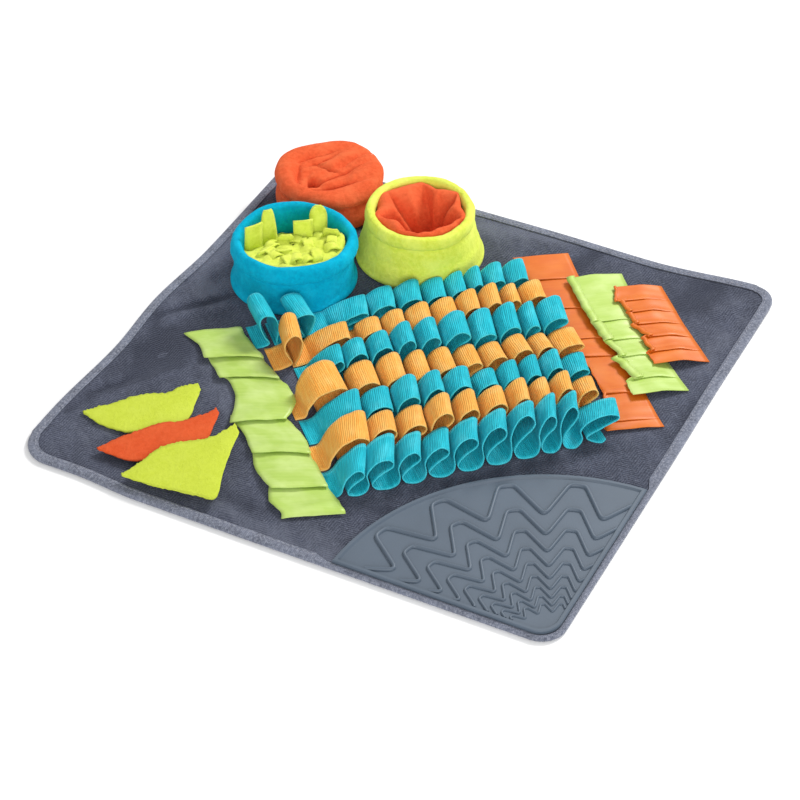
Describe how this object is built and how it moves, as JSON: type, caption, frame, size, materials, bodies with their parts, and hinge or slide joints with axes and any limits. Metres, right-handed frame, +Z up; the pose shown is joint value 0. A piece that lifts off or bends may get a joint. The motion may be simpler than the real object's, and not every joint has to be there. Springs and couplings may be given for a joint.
{
  "type": "snuffle mat",
  "caption": "Square cloth snuffle mat for a pet, with rows of ribbon loops, satin pleats, tucked strips, pointed flaps, fleece cups, a fringe, a pouch and a ribbed silicone lick mat.",
  "frame": {"origin": "under the middle of the mat's box, on the surface it lies on", "axes": "+Z up; +X towards the square's right corner, along the ribbon rows; -Y towards the corner with the lick mat"},
  "size_m": [0.683, 0.688, 0.0534],
  "materials": {
    "grey_cloth": "matt napped cloth",
    "grey_tape": "matt woven tape",
    "silicone": "satin silicone",
    "teal_ribbon": "matt ribbed ribbon",
    "orange_ribbon": "matt ribbed ribbon",
    "lime_satin": "satin",
    "orange_satin": "satin",
    "lime_fleece": "matt fleece",
    "orange_fleece": "matt fleece",
    "blue_fleece": "matt fleece"
  },
  "bodies": {
    "root": {"base_mat": "grey_cloth", "edge_binding": "grey_tape", "lick_mat": "silicone", "teal_row_1": "teal_ribbon", "orange_row_2": "orange_ribbon", "teal_row_3": "teal_ribbon", "orange_row_4": "orange_ribbon", "teal_row_5": "teal_ribbon", "orange_row_6": "orange_ribbon", "teal_row_7": "teal_ribbon", "lime_pleats": "lime_satin", "strip_orange_long": "orange_satin", "strip_lime": "lime_satin", "strip_orange_short": "orange_satin", "flap_lime_back": "lime_fleece", "flap_orange": "orange_fleece", "flap_lime_front": "lime_fleece", "blue_cup": "blue_fleece", "lime_cup": "lime_fleece", "orange_cup": "orange_fleece", "orange_pouch": "orange_fleece", "lime_fringe": "lime_fleece"}
  },
  "joints": []
}
